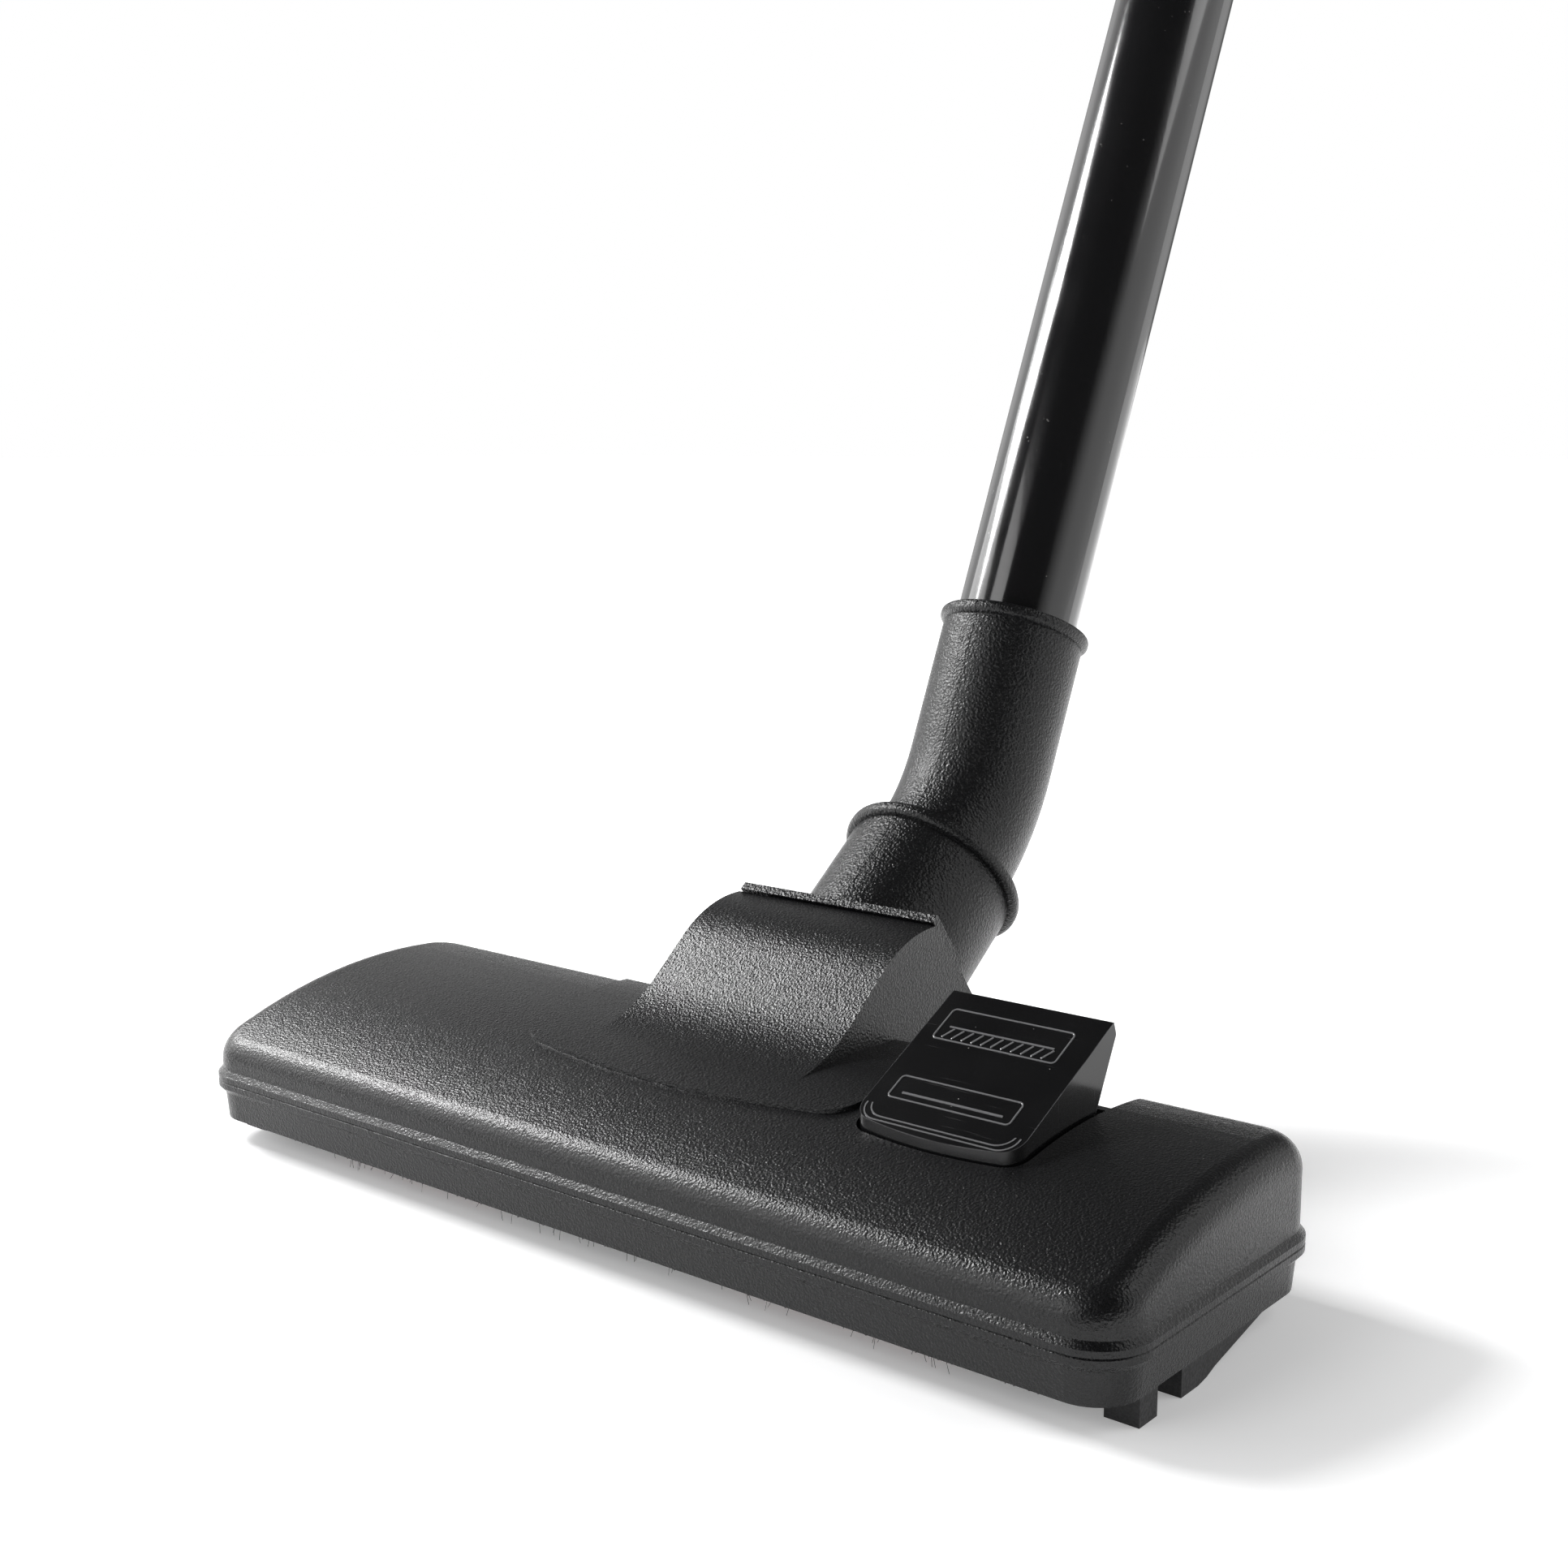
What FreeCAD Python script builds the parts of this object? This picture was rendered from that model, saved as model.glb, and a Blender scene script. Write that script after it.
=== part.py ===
"""Floor head of a canister vacuum cleaner, with its tilting neck, swivel elbow and lower wand tube.

Frame: millimetres, +Z up, +X along the head's long side, +Y towards its back.
The origin is on the floor under the rear runner, on the head's middle plane.
"""

import FreeCAD, Part
import math
import os

V = FreeCAD.Vector

# ---------------------------------------------------------------- head
head_width = 288.0          # skirt, left end to right end
head_front = -32.0          # skirt's front face
head_depth = 88.0
corner_front = 12.0         # vertical corner radii
corner_rear = 12.0
wall = 2.3
skirt_z = 6.3               # underside of the skirt
skirt_taper = 1.2           # how far the skirt's lower edge is drawn in
parting_z = 17.2
parting_chamfer = 0.25
crown_radius = 150.0        # arc of the top, seen from the side
crown_y = 33.0
crown_z = 41.8
edge_radius = 7.5           # rounding round the top's edge
bead_low = 14.0
bead_high = 20.4
bead_out = 1.3
bead_blend = 1.5            # height over which the bead runs out into the wall

# ---------------------------------------------------------------- sole and brushes
floor_sheet = 2.0           # base's floor plate
web = 1.3                   # sole plate, let in flush with the skirt
front_peg = (-20.0, -13.0)  # short feet under the front, one at each end
peg_length = 8.0
rear_runner = (-3.2, 4.0)
runner_knee = (11.2, 1.8)   # where the rear runner starts to rise
runner_heel = 32.0          # where it meets the skirt's underside
sole_inset = 3.8            # sole plate's edge in from the head's outline
duct_wall = 1.8
duct_gap = 0.8              # brush gear to duct
brush_slots = ((-28.9, -24.1), (5.0, 9.8))
brush_slot_half = 131.0
brush_clear = 0.4
bristle_tip = 4.2
brush_drop = 4.8
carrier_low = 10.4
carrier_high = 17.6
bridge_low = 15.0
lint_width = 4.0

# ---------------------------------------------------------------- pedal
pedal_left = 57.2
pedal_right = 101.0
pedal_gap = 0.8
pedal_front = -2.4
pedal_front_bow = 2.2
pedal_corner = 5.0
pedal_round = 1.0
pedal_rear = 39.5
pedal_front_z = 40.0
pedal_slope = 27.2          # degrees, as parked
pedal_edge = 2.4            # height of the rear edge
pedal_pivot = (16.0, 32.0)
pedal_pin_r = 2.0
finger_width = 6.0
pedal_travel = 21.5
pin_clear = 0.05
axle_reach = 4.4
well_depth = 26.0           # lower edge of the pedal's well
notch_sill = 34.6
spring_wire = 0.9
spring_turns = 6
finger_rear = 33.5
finger_thick = 3.5
finger_gap = 0.95           # finger to brush arm, parked

# ---------------------------------------------------------------- neck
pivot_behind = 9.0          # neck pivot behind the head
pivot_z = 33.0
neck_lean = 52.5            # degrees from upright, forward stop
hood_half = 33.0
hood_wall = 2.2
hood_radius = 35.2
plateau = 1.0
seat_gap = 0.05             # between curved faces that sit on each other
drum_gap = 0.4
drum_wall = 2.0
drum_low_radius = 29.0
cradle_wall = 1.8
flange_out = 22.5           # pivot to flange, along the tube
flange_thick = 2.4
flange_half_x = 32.4
flange_half = 28.2
flange_step = 10.0          # where its wide part starts, above the pivot line
pivot_pin_r = 4.0
ring_wall = 2.1             # bearing ring between elbow and neck
neck_rise = 2.25            # tube axis passes this far above the pivot
neck_wall = 2.2
neck_mouth = 59.0           # pivot to the mouth bead's middle
bead_ring_proud = 2.2
bead_ring_h = 4.2
seam = 0.2                  # between left and right mouldings

# ---------------------------------------------------------------- elbow and wand
elbow_wall = 3.0            # outside the wand
elbow_step = 0.4            # bore below the socket
elbow_vertex = 21.6         # mouth bead to the corner of the bend
elbow_bend = 28.6
elbow_bend_r = 66.0
socket_reach = 57.2         # corner of the bend to the top bead
socket_depth = 42.0
socket_bead_proud = 1.4
socket_bead_h = 4.0
spigot = 17.0
wand_r = 17.5
wand_wall = 0.9
wand_fit = 0.08
wand_length = 480.0
swage_length = 42.0
swage_blend = 6.0

# ---------------------------------------------------------------- wheels and screws
wheel_r = 9.0
wheel_w = 9.0
wheel_x = 62.0
wheel_y = 42.0
axle_r = 1.5
run_clear = 0.05
screw_r = 1.5
screw_head_r = 3.0
screw_points = ((-125, 24), (-47, 24), (47, 24), (125, 24), (-110, -18.0), (110, -18.0))
lint_half = 100.0

head_rear = head_front + head_depth
elbow_r = wand_r + elbow_wall
elbow_bore = wand_r - elbow_step
socket_bead_r = elbow_r + socket_bead_proud
neck_tube_r = elbow_r + ring_wall + neck_wall
bead_ring_r = neck_tube_r + bead_ring_proud
pivot_y = head_rear + pivot_behind
floor_top = skirt_z + web + floor_sheet
mouth_half = hood_half - duct_wall
pedal_middle = (pedal_left + pedal_right) / 2
finger_x = (pedal_middle - finger_width / 2, pedal_middle + finger_width / 2)
half = head_width / 2
crown_centre_z = crown_z - crown_radius
lean = math.radians(neck_lean)
along = V(0, math.sin(lean), math.cos(lean))        # up the neck tube
across = V(0, -math.cos(lean), math.sin(lean))      # from the tube's axis to its front
pivot = V(0, pivot_y, pivot_z)
wand_lean = lean - math.radians(elbow_bend)
wand_along = V(0, math.sin(wand_lean), math.cos(wand_lean))
tube_axis = pivot + across * neck_rise
mouth = tube_axis + along * neck_mouth
vertex = mouth + along * elbow_vertex
socket_top = vertex + wand_along * socket_reach
RIGHT = V(1, 0, 0)
UP = V(0, 0, 1)


# ---------------------------------------------------------------- shape helpers
def block(x0, x1, y0, y1, z0, z1):
    return Part.makeBox(x1 - x0, y1 - y0, z1 - z0, V(x0, y0, z0))


def rod_x(y, z, r, x0, x1):
    return Part.makeCylinder(r, x1 - x0, V(x0, y, z), RIGHT)


def side_prism(points, x0, x1):
    """A closed outline in the Y-Z plane, drawn out from x0 to x1."""
    wire = Part.makePolygon([V(x0, y, z) for y, z in points + points[:1]])
    return Part.Face(wire).extrude(V(x1 - x0, 0, 0))


def edges_prism(edges, x0, x1):
    """The same for an outline of edges drawn at x = 0."""
    face = Part.Face(Part.Wire(edges))
    face.translate(V(x0, 0, 0))
    return face.extrude(V(x1 - x0, 0, 0))


def plan_wire(grow, z):
    """The head's outline in plan, grown outwards, at height z."""
    x, y0, y1 = half + grow, head_front - grow, head_rear + grow
    rf, rr = corner_front + grow, corner_rear + grow
    k = 1 - math.sqrt(0.5)
    corners = [(x, y0, -1, 1, rf), (x, y1, -1, -1, rr), (-x, y1, 1, -1, rr), (-x, y0, 1, 1, rf)]
    arcs = []
    for i, (cx, cy, sx, sy, r) in enumerate(corners):
        a, b = V(cx + sx * r, cy, z), V(cx, cy + sy * r, z)
        if i % 2:
            a, b = b, a
        arcs.append(Part.Arc(a, V(cx + sx * k * r, cy + sy * k * r, z), b))
    edges = []
    for here, after in zip(arcs, arcs[1:] + arcs[:1]):
        edges += [here.toShape(), Part.makeLine(here.EndPoint, after.StartPoint)]
    return Part.Wire(edges)


def plan_prism(grow, z0, z1):
    return Part.Face(plan_wire(grow, z0)).extrude(V(0, 0, z1 - z0))


def drum_x(r, x_half):
    return rod_x(pivot_y, pivot_z, r, -x_half, x_half)


def polar(r, degrees):
    """A point round the neck's pivot, in Y and Z; 0 degrees is straight back, 90 is up."""
    a = math.radians(degrees)
    return pivot_y + r * math.cos(a), pivot_z + r * math.sin(a)


def wedge(a0, a1, x_half, r=60.0):
    """The space between two directions round the pivot."""
    steps = max(2, int(abs(a1 - a0) / 30) + 1)
    points = [polar(r, a0 + (a1 - a0) * i / steps) for i in range(steps + 1)]
    return side_prism([(pivot_y, pivot_z)] + points, -x_half, x_half)


def behind_plane(distance):
    """All that lies on the pivot's side of a plane square to the neck tube."""
    size = 200.0
    slab = Part.makeBox(2 * size, size, 2 * size, V(-size, -size, -size))
    # slab's outer face is at y = 0 and turns to face up the tube
    slab.rotate(V(0, 0, 0), RIGHT, 90 - neck_lean)
    slab.translate(pivot + along * distance)
    return slab


def tube(start, direction, length, r_out, r_in):
    outer = Part.makeCylinder(r_out, length, start, direction)
    return outer.cut(Part.makeCylinder(r_in, length, start, direction)) if r_in else outer


def bead(centre, direction, r_out, r_in, height):
    """A ring with a rounded rim."""
    ring = Part.makeCylinder(r_out, height, centre - direction * (height / 2), direction)
    rim = [e for e in ring.Edges if e.Closed]
    ring = ring.makeFillet(height * 0.42, rim)
    return ring.cut(Part.makeCylinder(r_in, height * 3, centre - direction * height * 1.5, direction))


def split_halves(shape):
    """Left and right mouldings, a seam's width apart."""
    big = 700.0
    left = shape.common(Part.makeBox(big, 2 * big, 2 * big, V(-big - seam / 2, -big, -big)))
    right = shape.common(Part.makeBox(big, 2 * big, 2 * big, V(seam / 2, -big, -big)))
    return left, right


def crown_height(y):
    return crown_centre_z + math.sqrt(crown_radius ** 2 - (y - crown_y) ** 2)


# ---------------------------------------------------------------- head casings
def crown_solid(inset):
    """The head's upper form above the floor plate, drawn in by inset on every side."""
    r = crown_radius - inset
    y0, y1 = head_front + inset, head_rear - inset

    def top(y):
        return crown_centre_z + math.sqrt(r * r - (y - crown_y) ** 2)

    middle = (y0 + y1) / 2
    base = floor_top if inset else bead_low
    edges = [
        Part.makeLine(V(0, y0, base), V(0, y0, top(y0))),
        Part.Arc(V(0, y0, top(y0)), V(0, middle, top(middle)), V(0, y1, top(y1))).toShape(),
        Part.makeLine(V(0, y1, top(y1)), V(0, y1, base)),
        Part.makeLine(V(0, y1, base), V(0, y0, base)),
    ]
    form = edges_prism(edges, -half, half).common(plan_prism(-inset, base, crown_z + 5))
    top_face = max(form.Faces, key=lambda f: f.CenterOfMass.z)
    return form.makeFillet(edge_radius - inset, top_face.Edges)


def bumper_bead(z0, z1):
    """Soft rib round the head, cut at the parting line into an upper and a lower half."""
    low_out, high_out = plan_wire(bead_out, bead_low + bead_blend), plan_wire(bead_out, bead_high - bead_blend)
    lower = Part.makeLoft([plan_wire(0, bead_low), low_out], True, True)
    middle = plan_prism(bead_out, bead_low + bead_blend, bead_high - bead_blend)
    upper = Part.makeLoft([high_out, plan_wire(0, bead_high)], True, True)
    bar = lower.fuse(middle).fuse(upper).removeSplitter()
    bar = bar.common(block(-200, 200, -100, 100, z0, z1))
    joint_edges = [e for e in bar.Edges if abs(e.BoundBox.ZMax - parting_z) < 1e-3 and e.BoundBox.ZLength < 1e-3]
    return bar.makeChamfer(parting_chamfer, joint_edges).cut(plan_prism(-wall, 0, 60))


def pedal_outline(gap):
    """The pedal's shape in plan, with its bowed front, grown by gap."""
    x0, x1 = pedal_left - gap, pedal_right + gap
    front = pedal_front - gap
    shoulder = front + pedal_front_bow
    rear = head_rear + 20.0
    middle = (x0 + x1) / 2
    edges = [
        Part.Arc(V(x0, shoulder, 0), V(middle, front, 0), V(x1, shoulder, 0)).toShape(),
        Part.makeLine(V(x1, shoulder, 0), V(x1, rear, 0)),
        Part.makeLine(V(x1, rear, 0), V(x0, rear, 0)),
        Part.makeLine(V(x0, rear, 0), V(x0, shoulder, 0)),
    ]
    prism = Part.Face(Part.Wire(edges)).extrude(V(0, 0, 90))
    corners = [e for e in prism.Edges if abs(e.BoundBox.ZLength - 90) < 1e-6 and e.BoundBox.YMax < rear - 1]
    return prism.makeFillet(pedal_corner + gap, corners)


def hood_plateau_outline():
    """The hood's flange in plan: bowed front, rounded corners, flaring to the back."""
    edges = [
        Part.Arc(V(-52, 1.5, 0), V(0, -4.0, 0), V(52, 1.5, 0)).toShape(),
        Part.makeLine(V(52, 1.5, 0), V(61, head_rear - 6, 0)),
        Part.makeLine(V(61, head_rear - 6, 0), V(-61, head_rear - 6, 0)),
        Part.makeLine(V(-61, head_rear - 6, 0), V(-52, 1.5, 0)),
    ]
    prism = Part.Face(Part.Wire(edges)).extrude(V(0, 0, 90))
    corners = [e for e in prism.Edges if abs(e.BoundBox.ZLength - 90) < 1e-6 and e.BoundBox.YMax < 10]
    return prism.makeFillet(9.0, corners)


def make_top_cover():
    cover = crown_solid(0).cut(crown_solid(wall))
    cover = cover.common(block(-200, 200, -100, 100, parting_z, 100))
    cover = cover.fuse(bumper_bead(parting_z, bead_high))
    slot = pedal_outline(pedal_gap)
    well = pedal_outline(pedal_gap + 1.6).common(crown_solid(wall - 0.5))
    well = well.common(block(0, half, -40, head_rear - wall, well_depth, 60))
    cover = cover.fuse(well).cut(slot.common(block(0, half, -40, head_rear + 5, 22, 90)))
    # the notch in the rear wall stops short of the parting line
    sill = block(pedal_left - pedal_gap, pedal_right + pedal_gap, head_rear - wall, head_rear, parting_z, notch_sill)
    cover = cover.fuse(sill)
    hood_hole = block(-hood_half - 0.2, hood_half + 0.2, 8, head_rear + 5, 0, 60)
    cover = cover.cut(hood_hole)
    py, pz = pedal_pivot
    pin_bore = rod_x(py, pz, pedal_pin_r, pedal_left - axle_reach, pedal_right + axle_reach)
    lug_top = crown_height(py) - wall / 2
    inner = pedal_gap
    for x0, x1 in ((pedal_left - axle_reach, pedal_left - inner), (pedal_right + inner, pedal_right + axle_reach)):
        cover = cover.fuse(block(x0, x1, py - 5, py + 5, well_depth, lug_top))
    cover = cover.cut(pin_bore)
    for x, y in screw_points:
        boss = Part.makeCylinder(3.2, crown_height(y) - parting_z - wall / 2, V(x, y, parting_z), UP)
        cover = cover.fuse(boss).cut(Part.makeCylinder(screw_r, 12, V(x, y, parting_z), UP))
    return cover.removeSplitter()


def make_base_tray():
    skin = Part.makeLoft([plan_wire(-skirt_taper, skirt_z), plan_wire(-0.2, parting_z)], True, True)
    tray = skin.cut(plan_prism(-wall - skirt_taper / 2, floor_top, 60))
    tray = tray.cut(plan_prism(-sole_inset, 0, floor_top - floor_sheet))
    tray = tray.fuse(bumper_bead(bead_low, parting_z))
    tray = tray.cut(brush_slot_cuts())
    tray = tray.cut(block(-mouth_half, mouth_half, front_peg[1] + 0.5, rear_runner[0] - 0.5, 0, 12))
    # the drum and its cradle hang through the back
    tray = tray.cut(block(-hood_half - 0.2, hood_half + 0.2, 36, head_rear + 5, 0, 60))
    for side in (-1, 1):
        x = side * wheel_x
        tray = tray.cut(block(x - wheel_w / 2 - 1, x + wheel_w / 2 + 1, wheel_y - 10.5, wheel_y + 10.5, 0, 12))
        for edge in (-1, 1):
            inner = wheel_w / 2 + 1
            x0, x1 = sorted((x + edge * inner, x + edge * (inner + 2.5)))
            rib = block(x0, x1, wheel_y - 5, wheel_y + 5, floor_top, wheel_r + 4.5)
            tray = tray.fuse(rib)
        tray = tray.cut(rod_x(wheel_y, wheel_r, axle_r, x - wheel_w / 2 - 3.5, x + wheel_w / 2 + 3.5))
    for x, y in screw_points:
        post = Part.makeCylinder(3.6, parting_z - floor_top, V(x, y, floor_top), UP)
        tray = tray.fuse(post)
        tray = tray.cut(Part.makeCylinder(screw_r + 0.2, 40, V(x, y, 0), UP))
        tray = tray.cut(Part.makeCylinder(screw_head_r + 0.2, skirt_z + 4.5, V(x, y, 0), UP))
    return tray.removeSplitter()


def make_sole_plate():
    top = skirt_z + web
    inner = plan_prism(-sole_inset - 0.1, 0, top)
    below = plan_prism(-skirt_taper, 0, skirt_z)
    sole = inner.common(block(-200, 200, head_front, runner_heel, skirt_z, top))
    profile = [
        (rear_runner[0], skirt_z), (rear_runner[0], 0), (rear_runner[1], 0),
        (rear_runner[1] + (runner_knee[0] - rear_runner[1]) / 2, 0.6),
        runner_knee, (runner_heel, skirt_z),
    ]
    sole = sole.fuse(below.common(side_prism(profile, -half, half)))
    for x0, x1 in ((-half, -half + skirt_taper + peg_length), (half - skirt_taper - peg_length, half)):
        sole = sole.fuse(below.common(block(x0, x1, front_peg[0], front_peg[1], 0, skirt_z)))
    sole = sole.cut(brush_slot_cuts())
    sole = sole.cut(block(-mouth_half, mouth_half, front_peg[1] + 0.5, rear_runner[0] - 0.5, -1, 12))
    # lint strips sit in shallow grooves beside the mouth
    for (y0, y1), (z0, z1) in zip(lint_beds(), lint_levels()):
        for x0, x1 in lint_spans(0):
            sole = sole.cut(block(x0, x1, y0, y1, z0, z1))
    for x, y in screw_points:
        sole = sole.cut(Part.makeCylinder(screw_head_r + 0.2, 20, V(x, y, -1), UP))
    return sole.removeSplitter()


def brush_slot_cuts():
    """Front slot right across; the rear one stops either side of the duct."""
    (f0, f1), (r0, r1) = brush_slots
    front = block(-brush_slot_half, brush_slot_half, f0, f1, -1, 12)
    keep = hood_half + duct_gap - 0.4
    left = block(-brush_slot_half, -keep, r0, r1, -1, 12)
    right = block(keep, brush_slot_half, r0, r1, -1, 12)
    return front.fuse(left).fuse(right)


def lint_beds():
    return ((front_peg[1] - lint_width - 1.5, front_peg[1] - 1.5), (rear_runner[0] + 1.5, rear_runner[0] + 1.5 + lint_width))


def lint_levels():
    """Groove floor and mouth: the front pair sits in the web, the rear pair in the runner."""
    return ((skirt_z - 1, skirt_z + 0.7), (-1, 1.4))


def lint_spans(gap):
    """Left and right of the suction mouth."""
    inner = mouth_half + 6.0
    return ((-lint_half + gap, -inner - gap), (inner + gap, lint_half - gap))


def make_lint_strip(index):
    y0, y1 = lint_beds()[index]
    top = lint_levels()[index][1]
    gap = 0.1
    return [block(x0, x1, y0 + gap, y1 - gap, top - 1.1, top) for x0, x1 in lint_spans(gap)]


# ---------------------------------------------------------------- neck hood and ducts
def hood_profile(drop):
    """Side outline of the hump: round over the drum, then sweeping out to the plateau."""
    r = hood_radius - drop
    foot_r = 46.0
    tangent = 130.0                     # where the round ends, round the pivot
    slope = math.radians(tangent - 90)
    end = polar(r, tangent)
    plateau_r = crown_radius + plateau - drop
    # slide along the straight until the foot's arc just touches the plateau's arc
    low, high = 0.0, 40.0
    for _ in range(50):
        run = (low + high) / 2
        start = (end[0] - run * math.cos(slope), end[1] - run * math.sin(slope))
        centre = (start[0] - foot_r * math.sin(slope), start[1] + foot_r * math.cos(slope))
        reach = math.hypot(centre[0] - crown_y, centre[1] - crown_centre_z)
        if reach > plateau_r + foot_r:
            low = run
        else:
            high = run
    share = plateau_r / (plateau_r + foot_r)
    foot = (crown_y + (centre[0] - crown_y) * share, crown_centre_z + (centre[1] - crown_centre_z) * share)
    a0 = math.atan2(start[1] - centre[1], start[0] - centre[0])
    a1 = math.atan2(foot[1] - centre[1], foot[0] - centre[0])
    am = (a0 + a1) / 2
    bend = (centre[0] + foot_r * math.cos(am), centre[1] + foot_r * math.sin(am))
    return end, start, bend, foot


def hump_solid(drop, x_half, bottom):
    end, start, bend, foot = hood_profile(drop)
    r = hood_radius - drop
    rim = math.degrees(math.acos(flange_out / r)) + 90 - neck_lean
    top = polar(r, rim)
    over = polar(r, (rim + 130.0) / 2)
    rear = polar(r, 90 - neck_lean - math.degrees(math.acos(flange_out / r)))
    edges = [
        Part.Arc(V(0, *top), V(0, *over), V(0, *end)).toShape(),
        Part.makeLine(V(0, *end), V(0, *start)),
        Part.Arc(V(0, *start), V(0, *bend), V(0, *foot)).toShape(),
        Part.makeLine(V(0, *foot), V(0, foot[0], bottom)),
        Part.makeLine(V(0, foot[0], bottom), V(0, head_rear - 1, bottom)),
        Part.makeLine(V(0, head_rear - 1, bottom), V(0, head_rear - 1, 8.5)),
        Part.makeLine(V(0, head_rear - 1, 8.5), V(0, rear[0] - 20, 8.5)),
        Part.makeLine(V(0, rear[0] - 20, 8.5), V(0, *rear)),
        Part.makeLine(V(0, *rear), V(0, *top)),
    ]
    return edges_prism(edges, -x_half, x_half)


duct_top = 34.0


def make_neck_hood():
    hump = hump_solid(0, hood_half, duct_top)
    hollow = hump_solid(hood_wall, hood_half - hood_wall, duct_top - 30)
    hump = hump.cut(hollow)
    hump = hump.cut(block(-hood_half + hood_wall, hood_half - hood_wall, 0, 140, -5, duct_top))
    hump = hump.cut(drum_x(hood_radius - hood_wall, hood_half - hood_wall))
    hump = hump.common(behind_plane(flange_out - drum_gap))
    # flange that lies on the cover
    shell = rod_x(crown_y, crown_centre_z, crown_radius + plateau, -80, 80)
    shell = shell.cut(rod_x(crown_y, crown_centre_z, crown_radius + seat_gap, -80, 80))
    plate = shell.common(hood_plateau_outline())
    plate = plate.cut(block(-hood_half + hood_wall, hood_half - hood_wall, 18, 120, 0, 90))
    pedal_room = pedal_outline(pedal_gap + 0.2)
    plate = plate.cut(pedal_room)
    hood = hump.fuse(plate)
    for x in (-hood_half - 1, hood_half - hood_wall - 1):
        hood = hood.cut(rod_x(pivot_y, pivot_z, pivot_pin_r, x, x + hood_wall + 2))
    return hood.removeSplitter()


def make_air_duct():
    """Trough that leads from the suction mouth back to the drum, under the hood."""
    half_x = hood_half
    floor_z = floor_top
    t = duct_wall
    front = front_peg[1] - 1.6
    outer = [(front, floor_z), (front, floor_z + 6), (9.6, duct_top), (36.0, duct_top), (36.0, floor_z)]
    inner = [
        (front + t, floor_z), (front + t, floor_z + 5.4), (9.6 + t * 0.8, duct_top),
        (60, duct_top), (60, floor_z + t + 7), (24, floor_z + t),
        (rear_runner[0] + 1, floor_z + t), (rear_runner[0], floor_z),
    ]
    duct = side_prism(outer, -half_x, half_x)
    duct = duct.cut(side_prism(inner, -half_x + t, half_x - t))
    duct = duct.cut(block(-mouth_half, mouth_half, front + t, rear_runner[0] - 0.5, 0, floor_z + 1))
    duct = duct.cut(drum_x(hood_radius - hood_wall, 60))
    return duct.removeSplitter()


def make_drum_cradle():
    r = drum_low_radius + 0.5
    x = hood_half - hood_wall
    shell = drum_x(r + cradle_wall, x).cut(drum_x(r, x))
    return shell.common(wedge(-152, -62, x))


def make_pivot_pins():
    pins = []
    for side in (-1, 1):
        x0, x1 = sorted((side * hood_half, side * (hood_half - 8.0)))
        pin = rod_x(pivot_y, pivot_z, pivot_pin_r, x0, x1)
        head = rod_x(pivot_y, pivot_z, 6.0, *sorted((side * hood_half, side * (hood_half + 1.2))))
        pins.append(pin.fuse(head).removeSplitter())
    return pins


def neck_body():
    """Drum, flange and tube of the neck, still in one piece."""
    x = hood_half - hood_wall - drum_gap
    r = hood_radius - hood_wall - drum_gap
    side_t = 2.0
    stay = behind_plane(flange_out)
    front_angles = (86, 136)
    low_angles = (-76, 0)
    front = drum_x(r, x).cut(drum_x(r - drum_wall, x)).common(wedge(*front_angles, x + 5))
    low = drum_x(drum_low_radius, x).cut(drum_x(drum_low_radius - drum_wall, x)).common(wedge(*low_angles, x + 5))
    body = front.common(stay).fuse(low.common(stay))
    for side in (-1, 1):
        x0, x1 = sorted((side * x, side * (x - side_t)))
        disc = rod_x(pivot_y, pivot_z, drum_low_radius, x0, x1)
        ear = rod_x(pivot_y, pivot_z, r, x0, x1).common(wedge(*front_angles, 60))
        plate = disc.fuse(ear).common(stay)
        boss = rod_x(pivot_y, pivot_z, pivot_pin_r + 2.5, *sorted((side * x, side * (x - 6))))
        plate = plate.fuse(boss)
        plate = plate.cut(rod_x(pivot_y, pivot_z, pivot_pin_r + run_clear, x0 - 8, x1 + 8))
        body = body.fuse(plate)
    # wide at the top, where it laps the hood's lip; the rest swings between the cheeks
    lip = block(-flange_half_x, flange_half_x, flange_step, flange_half, 0, flange_thick)
    flange = lip.fuse(block(-x, x, -flange_half, flange_step, 0, flange_thick))
    flange.rotate(V(0, 0, 0), UP, 180)
    flange.rotate(V(0, 0, 0), RIGHT, -neck_lean)
    flange.translate(pivot + along * flange_out)
    tube_start = tube_axis + along * flange_out
    length = neck_mouth - flange_out
    outer = Part.makeCylinder(neck_tube_r, length, tube_start, along)
    body = body.fuse(flange).fuse(outer)
    body = body.fuse(bead(mouth, along, bead_ring_r, neck_tube_r - neck_wall, bead_ring_h))
    bore_r = neck_tube_r - neck_wall
    body = body.cut(Part.makeCylinder(bore_r, length + 20, tube_start - along * 1, along))
    return body.removeSplitter()


def make_swivel_ring():
    """Plain bearing ring in the neck's mouth that the elbow turns in."""
    return tube(mouth - along * 11.0, along, 12.0, neck_tube_r - neck_wall - seat_gap, elbow_r + run_clear)


def make_neck_seal():
    return tube(mouth - along * 14.0, along, 3.0, neck_tube_r - neck_wall - seat_gap, elbow_r + run_clear)


# ---------------------------------------------------------------- elbow and wand
def elbow_path():
    """Centre line from the spigot's foot to the socket's top."""
    back = elbow_bend_r * math.tan(math.radians(elbow_bend) / 2)
    foot = mouth - along * spigot
    first = vertex - along * back
    last = vertex + wand_along * back
    depth = elbow_bend_r * (1 / math.cos(math.radians(elbow_bend) / 2) - 1)
    middle = vertex + inward() * depth
    return foot, first, middle, last


def inward():
    """From the bend's corner towards the centre of its arc."""
    step = wand_along - along
    step.normalize()
    return step


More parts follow.
